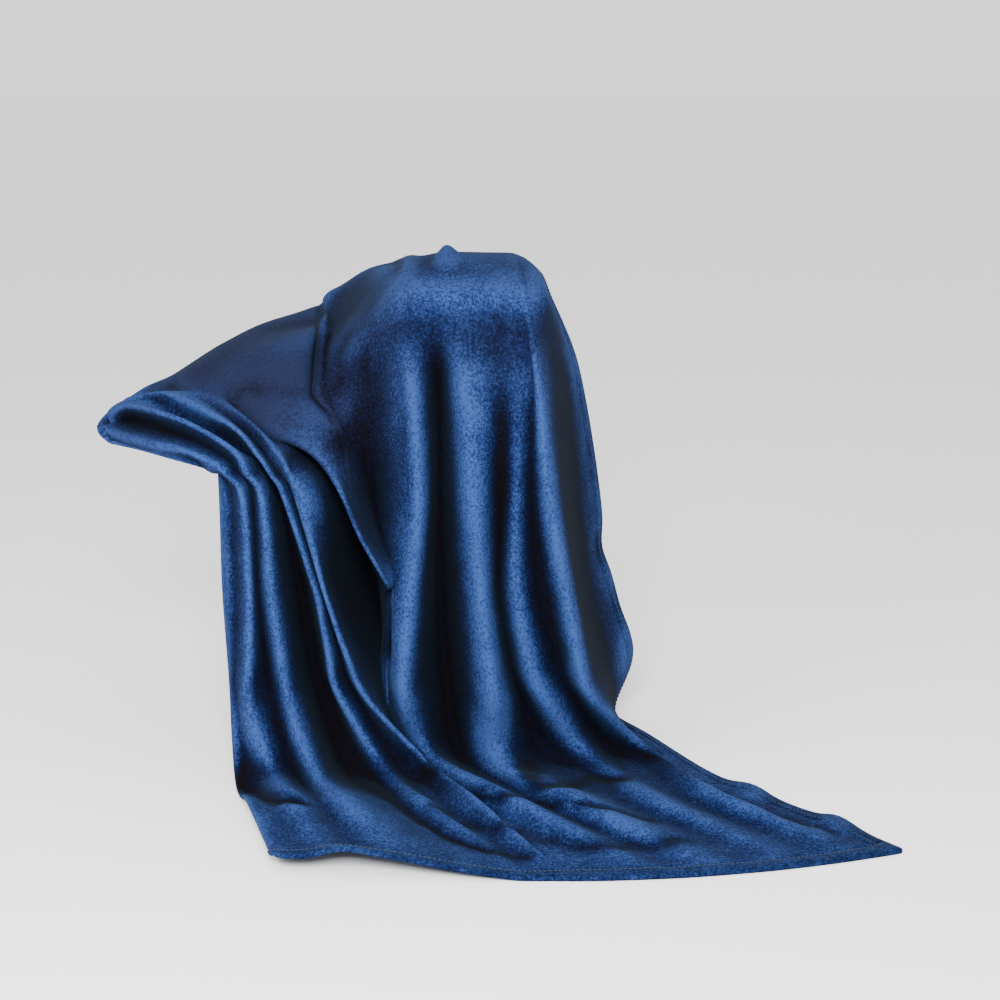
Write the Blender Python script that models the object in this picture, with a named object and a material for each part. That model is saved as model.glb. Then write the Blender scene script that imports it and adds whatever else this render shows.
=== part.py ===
"""Plush throw blanket, modelled as it hangs over the front of an arm and a seat edge and pools on
the floor. Metres, +Z up. The origin is on the floor, under the middle of the whole drape.

The cloth is one surface lofted through guide columns. Each column is one crest or one valley of the
folds, and runs from the foot hem on the floor, up the fall and over the arm or the seat, to the
head hem. The panel, the hems, the stitching and the label are all cut from that surface."""

import bpy
import numpy as np

# ---- Driving dimensions ----
ARM_TOP = 0.640  # height of the cloth over the arm
SEAT_TOP = 0.430  # height of the cloth over the seat's front edge
POOL_REACH = 0.440  # how far the foot hem lies in front of the arm's face
TIP_X = 0.462  # the corner that points out over the floor, to the right
CORNER_X = -0.245  # the other foot corner
TAIL_LENGTH = 0.150  # cloth that lies behind the ridge, down to the head hem
FOLD_SCALE = 1.0  # depth of every fold, as a share of the depths in COLUMNS

PANEL_THICKNESS = 0.0050
HEM_THICKNESS = 0.0080
HEM_WIDTH = 0.024
SEAM_GAP = 0.0003
THREAD_DIAMETER = 0.0014
STITCH_INSET = 0.005  # from the hem's inner edge to its row of stitches
STITCH_GAP = 0.0006  # the thread lies this far clear of the hem's face
LABEL_LENGTH = 0.040
LABEL_WIDTH = 0.024
LABEL_THICKNESS = 0.0010
FLAP_GAP = 1.2 * PANEL_THICKNESS  # clearance over the flap of cloth that is turned under at the left
LABEL_ROW = -8  # the panel's row of faces that carries the label, counted from the head hem

# The turned-under flap lies on the floor on its hem, and the cloth above it lies on the flap.
FLAP_REST = HEM_THICKNESS - PANEL_THICKNESS / 2 + STITCH_GAP + 1.5 * THREAD_DIAMETER
FLAP_RISE = FLAP_REST + PANEL_THICKNESS / 2 + FLAP_GAP

# Cloth heights where a column's x is given: a quarter, a half and five sixths of the way up to the seat.
LOW, MID, HIGH = 0.238 * SEAT_TOP, 0.506 * SEAT_TOP, 0.8335 * SEAT_TOP

# Lines across the throw, from the side hem on the right to the turned-under edge on the left.
# Each holds the same ten knots, and a column crosses all four at its own place between them.
CHEST = (
    (0.100, 0.160, ARM_TOP - 0.140),
    (0.080, 0.075, ARM_TOP - 0.140),
    (0.052, -0.020, ARM_TOP - 0.140),
    (-0.125, -0.020, ARM_TOP - 0.145),
    (-0.163, -0.004, ARM_TOP - 0.170),
    (-0.205, -0.006, SEAT_TOP + 0.020),
    (-0.256, -0.020, SEAT_TOP - 0.010),
    (-0.303, -0.024, SEAT_TOP - 0.030),
    (-0.362, -0.016, SEAT_TOP - 0.050),
    (-0.214, 0.085, SEAT_TOP - 0.043),
)
BRINK = (
    (0.064, 0.150, ARM_TOP - 0.060),
    (0.056, 0.040, ARM_TOP - 0.048),
    (0.036, -0.014, ARM_TOP - 0.040),
    (-0.130, -0.010, ARM_TOP - 0.044),
    (-0.165, 0.015, ARM_TOP - 0.066),
    (-0.215, 0.040, SEAT_TOP + 0.085),
    (-0.310, 0.010, SEAT_TOP + 0.014),
    (-0.358, -0.010, SEAT_TOP - 0.004),
    (-0.404, -0.020, SEAT_TOP - 0.030),
    (-0.266, 0.098, SEAT_TOP - 0.032),
)
TOP = (
    (0.040, 0.215, ARM_TOP - 0.026),
    (0.034, 0.130, ARM_TOP - 0.010),
    (0.022, 0.110, ARM_TOP),
    (-0.135, 0.110, ARM_TOP - 0.004),
    (-0.170, 0.125, ARM_TOP - 0.026),
    (-0.220, 0.140, SEAT_TOP + 0.130),
    (-0.345, 0.090, SEAT_TOP + 0.040),
    (-0.440, 0.036, SEAT_TOP + 0.018),
    (-0.480, -0.004, SEAT_TOP - 0.018),
    (-0.330, 0.120, SEAT_TOP - 0.022),
)
RIDGE = (
    (0.040, 0.300, ARM_TOP - 0.034),
    (0.022, 0.290, ARM_TOP - 0.024),
    (0.000, 0.280, ARM_TOP - 0.020),
    (-0.155, 0.280, ARM_TOP - 0.024),
    (-0.195, 0.285, ARM_TOP - 0.038),
    (-0.240, 0.285, SEAT_TOP + 0.140),
    (-0.320, 0.240, SEAT_TOP + 0.098),
    (-0.468, 0.105, SEAT_TOP + 0.034),
    (-0.508, 0.020, SEAT_TOP - 0.006),
    (-0.390, 0.140, SEAT_TOP - 0.014),
)

# The guide columns, from the side hem round to the turned-under edge. Each is: its name; its place along the
# foot hem from 0 at the tip to 1 at the corner; where it meets the floor, x and y; its x at LOW, MID
# and HIGH; its place on the four lines above; the depth of its crest, or of its valley if negative;
# and how far it is set back, for cloth that turns round the arm's or the seat's side.
COLUMNS = (
    ("side_hem", 0.00, 0.168, 0.150, 0.172, 0.147, 0.128, 0.00, 0.000, 0.215),
    ("side", 0.03, 0.165, 0.045, 0.138, 0.108, 0.092, 1.00, -0.012, 0.100),
    ("crest_b", 0.08, 0.195, -0.040, 0.130, 0.093, 0.070, 2.00, 0.034, 0.000),
    ("valley_b", 0.13, 0.150, -0.020, 0.090, 0.057, 0.042, 2.10, -0.018, 0.000),
    ("crest_d", 0.18, 0.118, -0.070, 0.052, 0.021, 0.020, 2.22, 0.024, 0.000),
    ("valley_d", 0.23, 0.065, -0.050, 0.021, -0.002, -0.001, 2.35, -0.030, 0.000),
    ("crest_e", 0.30, 0.000, -0.100, -0.008, -0.023, -0.036, 2.55, 0.036, 0.000),
    ("valley_f", 0.36, -0.045, -0.050, -0.069, -0.078, -0.078, 2.70, -0.050, 0.000),
    ("crest_g", 0.40, -0.085, -0.090, -0.117, -0.112, -0.098, 2.85, 0.036, 0.000),
    ("flat_g", 0.44, -0.110, -0.060, -0.134, -0.136, -0.125, 3.00, 0.016, 0.000),
    ("valley_h", 0.48, -0.128, -0.020, -0.145, -0.157, -0.165, 4.00, -0.045, 0.000),
    ("slope", 0.50, -0.134, -0.015, -0.150, -0.168, -0.180, 5.00, -0.035, 0.000),
    ("crest_i", 0.51, -0.138, -0.020, -0.155, -0.172, -0.196, 6.00, 0.010, 0.000),
    ("valley_j", 0.53, -0.120, -0.060, -0.158, -0.190, -0.230, 6.30, -0.045, 0.000),
    ("crest_k", 0.55, -0.083, -0.130, -0.163, -0.222, -0.262, 6.60, 0.042, 0.000),
    ("valley_k", 0.59, -0.110, -0.115, -0.188, -0.240, -0.272, 6.75, -0.006, 0.000),
    ("crest_n", 0.62, -0.140, -0.125, -0.205, -0.250, -0.278, 6.95, 0.020, 0.000),
    ("valley_n", 0.66, -0.165, -0.110, -0.222, -0.262, -0.288, 7.10, -0.020, 0.000),
    ("valley_m", 0.71, -0.200, -0.105, -0.247, -0.278, -0.300, 7.25, -0.036, 0.000),
    ("crest_r", 0.80, -0.222, -0.185, -0.262, -0.289, -0.307, 7.40, 0.030, 0.000),
    ("valley_r", 0.87, -0.250, -0.150, -0.290, -0.307, -0.316, 7.55, -0.006, 0.000),
    ("crest_s", 0.92, -0.280, -0.170, -0.312, -0.314, -0.324, 7.75, 0.030, 0.000),
    ("valley_s", 0.96, -0.305, -0.150, -0.330, -0.332, -0.338, 7.90, 0.004, 0.000),
    ("edge", 1.00, -0.324, -0.150, -0.340, -0.347, -0.350, 8.00, -0.010, 0.000),
    ("turn", 1.010, -0.316, -0.100, -0.330, -0.336, -0.342, 8.20, -0.012, 0.030),
    ("back_hem", 0.930, -0.215, -0.020, -0.185, -0.150, -0.182, 9.00, -0.010, 0.090),
)

# How far the fall leans out towards the front at LOW, MID and HIGH, and the share of a fold's depth there.
LEANS = ((LOW, 0.055, 1.10), (MID, 0.030, 1.00), (HIGH, 0.018, 0.90))

FULLEST = 0.55  # the share of the foot hem that lies furthest forward
FOOT_BOW = 0.195  # how far back the tip lies, as a share of POOL_REACH
CORNER_BOW = 0.45  # the corner's share of that
POOL_SWEEP = 0.110  # how far the side hem bows forward on the floor
FLAP_START = 0.62  # the share of the foot hem where the cloth starts to climb over that flap
FLAP_FULL = 0.80  # and where it lies fully on it
# A crest's lift over the floor: places from the foot hem to the toe, each with its share of the depth.
POOL_RISES = ((0.0, 0.0), (0.30, 0.25), (0.65, 0.55), (1.0, 0.60))

LAST_ON_ARM = 4  # a place on the lines from here on lies beside the arm, and then on the seat
FIRST_ON_SEAT = 4.5
LAST_IN_SIGHT = 8.5  # beyond this place the cloth is turned under
CHEST_DEPTH = 0.7  # share of a fold's depth that is left at the chest line
BRINK_DEPTH = 0.3  # and at the brink
SEAT_OUTWARD = 0.5  # on the seat this share of that goes forward
SEAT_UPWARD = 0.4  # and this share of the depth goes up
CROWN_SHARE = 0.42  # the rounded shoulder lies this far from the brink to the top
CROWN_LIFT = 0.012  # and stands this far over the straight line between them
TAIL_RUN = 0.8  # share of TAIL_LENGTH that the tail runs back
TAIL_DROPS = ((0.5, 0.10), (1.0, 0.45))  # share of the tail, share of its length that it has dropped
SEAT_CLEARANCE = 0.004  # the tail lies this far over the seat's top
SEAT_ROLL = 0.018  # the turned-under edge rolls this far below it
UNDER_TOE = 0.3  # share of the rise over the flap that is left under the turned edge

FLOOR_SNAP = 0.0006  # an underside this near the floor lies on it

COLUMN_STEPS = 2  # cloth faces between one guide column and the next
ROWS = 44  # cloth faces from the foot hem to the head hem
FINE_STEPS = 12  # samples between two stations or two columns, for spacing by length


def smooth(points, places):
    """Points on the smooth curve through the given points, at places counted from 0 in points."""
    points = np.asarray(points, float)
    last = len(points) - 1
    ends = 2 * points[[0, last]] - points[[1, last - 1]]
    padded = np.concatenate((ends[:1], points, ends[1:]))
    start = np.clip(np.floor(places).astype(int), 0, last - 1)
    share = (places - start).reshape((-1,) + (1,) * (points.ndim - 1))
    a, b, c, d = (padded[start + step] for step in range(4))
    bend = 2 * a - 5 * b + 4 * c - d
    twist = 3 * (b - c) + d - a
    return b + 0.5 * share * (c - a + share * (bend + share * twist))


def line_point(line, place):
    return smooth(line, np.array([place]))[0]


def foot_point(share):
    """A place on the foot hem, which bows out towards the front between its two corners."""
    x = TIP_X + share * (CORNER_X - TIP_X)
    bow = 1 - ((share - FULLEST) / FULLEST) ** 2 * (1.0 if share < FULLEST else CORNER_BOW)
    return np.array((x, -POOL_REACH * (1 - FOOT_BOW * (1 - bow)), 0.0))


def column(foot, toe_x, toe_y, low_x, mid_x, high_x, place, depth, back):
    """One guide column as a list of points, from the foot hem up to the head hem."""
    depth = depth * FOLD_SCALE
    lift = max(depth, 0.0)
    hem = foot_point(foot)
    climb = min(max((foot - FLAP_START) / (FLAP_FULL - FLAP_START), 0.0), 1.0)
    rest = PANEL_THICKNESS / 2 + FLAP_RISE * climb
    turned = back > 0 and foot > FULLEST
    if turned:
        hem[1] += back
        rest = FLAP_REST + (0 if place > LAST_IN_SIGHT else UNDER_TOE) * (rest - FLAP_REST)
    toe = np.array((toe_x, toe_y, 0.0))
    sweep = POOL_SWEEP * (1 - foot) ** 3
    points = []
    for share, rise in POOL_RISES:
        spot = hem + share * (toe - hem)
        spot[1] -= sweep * share * np.sin(np.pi * share)
        points.append((spot[0], spot[1], rest + rise * lift))
    for (height, lean, weight), x in zip(LEANS, (low_x, mid_x, high_x)):
        points.append((x, back - lean - weight * depth, height))
    on_arm = place < LAST_ON_ARM
    outward = 1.0 if on_arm else SEAT_OUTWARD
    upward = 0.0 if on_arm else SEAT_UPWARD
    chest = line_point(CHEST, place) - (0, CHEST_DEPTH * outward * depth, 0)
    brink = line_point(BRINK, place) - (0, BRINK_DEPTH * outward * depth, -upward * depth)
    top = line_point(TOP, place) + (0, 0, upward * depth)
    ridge = line_point(RIDGE, place)
    crown = brink + CROWN_SHARE * (top - brink) + (0, 0, CROWN_LIFT * outward)
    points += [chest, brink, crown, top, ridge]
    lowest = 0.0
    if place > FIRST_ON_SEAT:
        lowest = SEAT_TOP - SEAT_ROLL if turned else SEAT_TOP + SEAT_CLEARANCE
    for share, drop in TAIL_DROPS:
        spot = ridge + (0.0, TAIL_RUN * share * TAIL_LENGTH, -drop * TAIL_LENGTH)
        spot[2] = max(spot[2], min(ridge[2] - SEAT_CLEARANCE * share, lowest))
        points.append(spot)
    return np.array(points, float)


def guide_grid():
    """The guide columns as stations by columns by x, y, z, with many samples along each column."""
    guides = np.array([column(*entry[1:]) for entry in COLUMNS]).swapaxes(0, 1)
    stations = len(guides) - 1
    return smooth(guides, np.linspace(0, stations, stations * FINE_STEPS + 1))


GRID = guide_grid()
GRID_STEPS = np.linalg.norm(np.diff(GRID, axis=0), axis=2).mean(axis=1)
GRID_LENGTHS = np.concatenate(([0.0], np.cumsum(GRID_STEPS)))
CLOTH_LENGTH = GRID_LENGTHS[-1]
LAST_COLUMN = len(COLUMNS) - 1


def rungs(lengths):
    """The guide columns crossed at the given lengths from the foot hem: lengths by columns by x, y, z."""
    places = np.interp(lengths, GRID_LENGTHS, np.arange(len(GRID_LENGTHS)))
    return smooth(GRID, places)


def side_places(rung, start, end):
    """The column places that lie start in from the side hem's edge and end in from the back edge."""
    places = np.linspace(0, LAST_COLUMN, LAST_COLUMN * FINE_STEPS + 1)
    steps = np.linalg.norm(np.diff(smooth(rung, places), axis=0), axis=1)
    along = np.concatenate(([0.0], np.cumsum(steps)))
    return np.interp((start, along[-1] - end), along, places)


def surface(lengths, places):
    """Points and outward normals of the cloth, for each length and its own row of column places."""
    nudge = 1e-3  # in columns
    step = 1e-4  # in metres
    spots = []
    for length_shift, place_shift in ((0, 0), (-step, 0), (step, 0), (0, -nudge), (0, nudge)):
        rows = rungs(np.clip(lengths + length_shift, 0, CLOTH_LENGTH))
        moved = np.clip(places + place_shift, 0, LAST_COLUMN)
        spots.append(np.array([smooth(row, place) for row, place in zip(rows, moved)]))
    middle, below, above, right, left = spots
    turned = (LAST_COLUMN - 2, LAST_COLUMN - 1)
    lowest = np.interp(places, turned, (PANEL_THICKNESS / 2, FLAP_REST))
    for spot in spots:
        spot[..., 2] = np.maximum(spot[..., 2], lowest)
    normals = np.cross(above - below, left - right)
    normals /= np.linalg.norm(normals, axis=2, keepdims=True)
    return middle, normals


# ---- Building ----
def new_material(name, colour, roughness):
    material = bpy.data.materials.new(name)
    material.use_nodes = True
    shader = material.node_tree.nodes["Principled BSDF"]
    shader.inputs["Base Color"].default_value = (*colour, 1.0)
    shader.inputs["Roughness"].default_value = roughness
    shader.inputs["Metallic"].default_value = 0.0
    return material


def add_object(name, mesh, material, collection):
    made = bpy.data.objects.new(name, mesh)
    mesh.materials.append(material)
    collection.objects.link(made)
    return made


def layer(name, middle, normals, below, above, material, collection):
    """A closed sheet between two offsets of the cloth's middle. The upper offset may vary over it.

    The rim's quads are split from the upper side of the lower index to the under side of the higher
    one, so that two sheets that meet along a seam have parallel rims."""
    rows, columns = middle.shape[:2]
    under = middle - normals * below
    under[..., 2] = np.where(under[..., 2] < FLOOR_SNAP, 0.0, under[..., 2])
    over = under + normals * (below + np.broadcast_to(above, (rows, columns))[..., None])
    over[..., 2] = np.maximum(over[..., 2], 0.0)
    points = np.concatenate((over.reshape(-1, 3), under.reshape(-1, 3)))
    index = np.arange(rows * columns).reshape(rows, columns)
    quads = np.stack((index[:-1, :-1], index[1:, :-1], index[1:, 1:], index[:-1, 1:]), axis=-1)
    faces = [tuple(face) for face in quads.reshape(-1, 4).tolist()]
    low = rows * columns
    faces += [tuple(low + corner for corner in reversed(face)) for face in faces]
    rim = np.concatenate((index[0, :-1], index[:-1, -1], index[-1, :0:-1], index[:0:-1, 0])).tolist()
    for start, end in zip(rim, rim[1:] + rim[:1]):
        if start < end:
            faces += [(start, end, low + end), (start, low + end, low + start)]
        else:
            faces += [(end, low + start, start), (end, low + end, low + start)]
    mesh = bpy.data.meshes.new(name)
    mesh.from_pydata(points.tolist(), [], faces)
    mesh.shade_smooth()
    return add_object(name, mesh, material, collection)


def thread(name, points, normals, material, collection):
    """A row of stitches: one line of thread that lies on the hem's face."""
    curve = bpy.data.curves.new(name, "CURVE")
    curve.dimensions = "3D"
    curve.bevel_depth = THREAD_DIAMETER / 2
    curve.bevel_resolution = 1
    curve.use_fill_caps = True
    spline = curve.splines.new("POLY")
    spline.points.add(len(points) - 1)
    height = HEM_THICKNESS - PANEL_THICKNESS / 2 + STITCH_GAP + THREAD_DIAMETER / 2
    for point, spot in zip(spline.points, points + normals * height):
        point.co = (*spot, 1.0)
    return add_object(name, curve, material, collection)


def care_label(corners, normals, material, collection):
    """A blank satin tab on the reverse side, inside one face of the panel, next to the side hem."""
    sides = np.linalg.norm(corners[0, 1] - corners[0, 0]), np.linalg.norm(corners[1, 0] - corners[0, 0])
    half_across = 0.5 * LABEL_LENGTH / sides[0]
    half_along = 0.5 * LABEL_WIDTH / sides[1]
    middle = np.empty((2, 2, 3))
    outward = np.empty((2, 2, 3))
    for row, along in enumerate((0.5 - half_along, 0.5 + half_along)):
        for place, spread in enumerate((0.5 - half_across, 0.5 + half_across)):
            weights = np.outer((1 - along, along), (1 - spread, spread))[..., None]
            middle[row, place] = (corners * weights).sum(axis=(0, 1))
            outward[row, place] = (normals * weights).sum(axis=(0, 1))
    below = PANEL_THICKNESS / 2 + 2 * SEAM_GAP + LABEL_THICKNESS
    layer("care_label", middle, outward, below, LABEL_THICKNESS - below, material, collection)


def main():
    for stale in list(bpy.data.objects):
        bpy.data.objects.remove(stale, do_unlink=True)
    collection = bpy.data.collections.new("throw_blanket")
    bpy.context.scene.collection.children.link(collection)
    plush = new_material("navy_plush", (0.020, 0.062, 0.170), 0.95)
    hem_plush = new_material("hem_plush", (0.014, 0.045, 0.130), 0.95)
    cotton = new_material("stitch_thread", (0.012, 0.030, 0.090), 0.70)
    satin = new_material("label_satin", (0.780, 0.780, 0.760), 0.45)

    seam = HEM_WIDTH + SEAM_GAP
    stitch = HEM_WIDTH - STITCH_INSET
    flush = PANEL_THICKNESS / 2
    raised = HEM_THICKNESS - flush
    panel_rows = np.linspace(seam, CLOTH_LENGTH - seam, ROWS + 1)
    across = np.linspace(0, 1, LAST_COLUMN * COLUMN_STEPS + 1)

    crossed = rungs(panel_rows)
    ends = np.array([side_places(rung, seam, seam) for rung in crossed])
    inner = np.array([side_places(rung, HEM_WIDTH, HEM_WIDTH) for rung in crossed])
    sewn = np.array([side_places(rung, stitch, stitch) for rung in crossed])
    outer = np.tile((0.0, LAST_COLUMN), (ROWS + 1, 1))
    panel = ends[:, :1] + (ends[:, 1:] - ends[:, :1]) * across
    right = np.stack((outer[:, 0], sewn[:, 0], inner[:, 0]), axis=1)
    left = np.stack((inner[:, 1], sewn[:, 1], outer[:, 1]), axis=1)
    whole = np.concatenate((right, panel, left), axis=1)

    # A hem is thicker than the panel, except along each seam, where the two are level.
    hem_rows = np.array((0.0, stitch, HEM_WIDTH))
    foot_height = np.array((raised, raised, flush))[:, None]
    side_height = np.full((ROWS + 1, 3), raised)
    side_height[0] = side_height[-1] = side_height[:, 2] = flush
    pieces = {
        "fleece_panel": (panel_rows, panel, flush, plush),
        "foot_hem": (hem_rows, np.tile(whole[0], (3, 1)), foot_height, hem_plush),
        "head_hem": (
            (CLOTH_LENGTH - hem_rows)[::-1],
            np.tile(whole[-1], (3, 1)),
            foot_height[::-1],
            hem_plush,
        ),
        "side_hem_right": (panel_rows, right, side_height, hem_plush),
        "side_hem_left": (panel_rows, left, side_height[:, ::-1], hem_plush),
    }

    sheets = {}
    for name, (lengths, places, _, _) in pieces.items():
        sheets[name] = surface(lengths, places)

    skins = []
    for name, (middle, normals) in sheets.items():
        height = np.broadcast_to(pieces[name][2], middle.shape[:2])[..., None]
        skins += [(middle - normals * flush).reshape(-1, 3), (middle + normals * height).reshape(-1, 3)]
    skins = np.concatenate(skins)
    shift = (skins.min(axis=0) + skins.max(axis=0)) / 2 * (1, 1, 0)
    for name, (middle, normals) in sheets.items():
        middle -= shift
        layer(name, middle, normals, flush, pieces[name][2], pieces[name][3], collection)

    for name in ("foot_hem", "head_hem"):
        middle, normals = sheets[name]
        thread(name + "_stitching", middle[1, 1:-1], normals[1, 1:-1], cotton, collection)
    for name in ("side_hem_right", "side_hem_left"):
        middle, normals = sheets[name]
        thread(name + "_stitching", middle[1:-1, 1], normals[1:-1, 1], cotton, collection)

    middle, normals = sheets["fleece_panel"]
    care_label(middle[LABEL_ROW:, :2][:2], normals[LABEL_ROW:, :2][:2], satin, collection)


main()
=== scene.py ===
# %% [markdown]
# # A plush throw, laid over the arm of a chair
# A throw is one sheet of fleece, about 1.27 by 1.52 metres, with its edges turned over and sewn.
# What makes it hard to model isn't its outline but how it lies: it is pulled over the arm, hangs
# down in front of the seat in deep folds and runs out over the floor. Here the folds are laid out
# first, as a sculptor would, and a short cloth simulation then settles them.

import bpy
import numpy as np
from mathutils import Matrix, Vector


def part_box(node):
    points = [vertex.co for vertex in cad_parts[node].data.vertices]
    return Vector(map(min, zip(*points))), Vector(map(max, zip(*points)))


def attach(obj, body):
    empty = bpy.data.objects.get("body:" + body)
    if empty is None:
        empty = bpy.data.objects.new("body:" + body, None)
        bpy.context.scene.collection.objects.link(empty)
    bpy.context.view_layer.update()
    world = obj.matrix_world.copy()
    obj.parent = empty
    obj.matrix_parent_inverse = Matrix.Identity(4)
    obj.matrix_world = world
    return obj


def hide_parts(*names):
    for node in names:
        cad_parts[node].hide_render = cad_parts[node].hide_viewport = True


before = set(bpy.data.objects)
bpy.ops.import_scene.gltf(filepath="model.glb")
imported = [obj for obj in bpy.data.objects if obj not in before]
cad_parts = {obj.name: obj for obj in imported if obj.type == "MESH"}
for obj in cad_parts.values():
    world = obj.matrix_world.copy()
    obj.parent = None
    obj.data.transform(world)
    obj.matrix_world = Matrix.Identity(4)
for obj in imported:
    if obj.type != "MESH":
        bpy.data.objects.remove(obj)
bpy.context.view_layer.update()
scene = bpy.context.scene
print("the packed model holds", sorted(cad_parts))

# %% [markdown]
# ## The camera
# The blanket is seen from the front, a little above the arm and far enough away that its upright
# folds stay parallel. A lens of about 75 mm does that. The camera is made before anything else, so
# that each piece can be looked at as it is made.

# %% Place the camera
CENTRE = Vector((0.02756, 0.00784, 0.0))
CAMERA_SPOT = CENTRE + Vector((0.0, -2.62, 0.875))
CAMERA_PITCH = np.radians(78.43)

bpy.ops.object.camera_add(location=CAMERA_SPOT, rotation=(CAMERA_PITCH, 0.0, 0.0))
camera = bpy.context.object
camera.data.lens = 75.6
camera.data.sensor_width = 36.0
camera.data.clip_start = 0.05
scene.camera = camera
print("camera stands", round(-CAMERA_SPOT.y, 2), "m in front of the middle of the blanket")

# %% [markdown]
# ## The four lines over the arm and the seat
# A draped cloth follows what is under it. Four lines across the throw say where that is: the chest,
# where it starts to hang, the brink over the edge, the top, and the ridge behind it. Each line has
# ten knots, which go from the hem on the right, over the arm, down its inner side and along the
# seat to the rolled edge on the left. The tenth is turned back under that edge.

# %% Lay out the four lines
ARM_TOP = 0.640
SEAT_TOP = 0.430

CHEST = [
    (0.100, 0.160, ARM_TOP - 0.140),
    (0.080, 0.075, ARM_TOP - 0.140),
    (0.052, -0.020, ARM_TOP - 0.140),
    (-0.125, -0.020, ARM_TOP - 0.145),
    (-0.163, -0.004, ARM_TOP - 0.170),
    (-0.205, -0.006, SEAT_TOP + 0.020),
    (-0.256, -0.020, SEAT_TOP - 0.010),
    (-0.303, -0.024, SEAT_TOP - 0.030),
    (-0.362, -0.016, SEAT_TOP - 0.050),
    (-0.214, 0.085, SEAT_TOP - 0.043),
]
BRINK = [
    (0.064, 0.150, ARM_TOP - 0.060),
    (0.056, 0.040, ARM_TOP - 0.048),
    (0.036, -0.014, ARM_TOP - 0.040),
    (-0.130, -0.010, ARM_TOP - 0.044),
    (-0.165, 0.015, ARM_TOP - 0.066),
    (-0.215, 0.040, SEAT_TOP + 0.085),
    (-0.310, 0.010, SEAT_TOP + 0.014),
    (-0.358, -0.010, SEAT_TOP - 0.004),
    (-0.404, -0.020, SEAT_TOP - 0.030),
    (-0.266, 0.098, SEAT_TOP - 0.032),
]
TOP = [
    (0.040, 0.215, ARM_TOP - 0.026),
    (0.034, 0.130, ARM_TOP - 0.010),
    (0.022, 0.110, ARM_TOP),
    (-0.135, 0.110, ARM_TOP - 0.004),
    (-0.170, 0.125, ARM_TOP - 0.026),
    (-0.220, 0.140, SEAT_TOP + 0.130),
    (-0.345, 0.090, SEAT_TOP + 0.040),
    (-0.440, 0.036, SEAT_TOP + 0.018),
    (-0.480, -0.004, SEAT_TOP - 0.018),
    (-0.330, 0.120, SEAT_TOP - 0.022),
]
RIDGE = [
    (0.040, 0.300, ARM_TOP - 0.034),
    (0.022, 0.290, ARM_TOP - 0.024),
    (0.000, 0.280, ARM_TOP - 0.020),
    (-0.155, 0.280, ARM_TOP - 0.024),
    (-0.195, 0.285, ARM_TOP - 0.038),
    (-0.240, 0.285, SEAT_TOP + 0.140),
    (-0.320, 0.240, SEAT_TOP + 0.098),
    (-0.468, 0.105, SEAT_TOP + 0.034),
    (-0.508, 0.020, SEAT_TOP - 0.006),
    (-0.390, 0.140, SEAT_TOP - 0.014),
]
print("the lines hold", len(CHEST), len(BRINK), len(TOP), len(RIDGE), "knots")

# %% [markdown]
# ## The folds
# Each fold is a crest with a valley on both sides of it, and each of these is one line down the
# cloth. Its place is given where it meets the floor and at three heights above it, together with
# how far it stands forward. The cloth is then a smooth surface through all of them.

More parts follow.
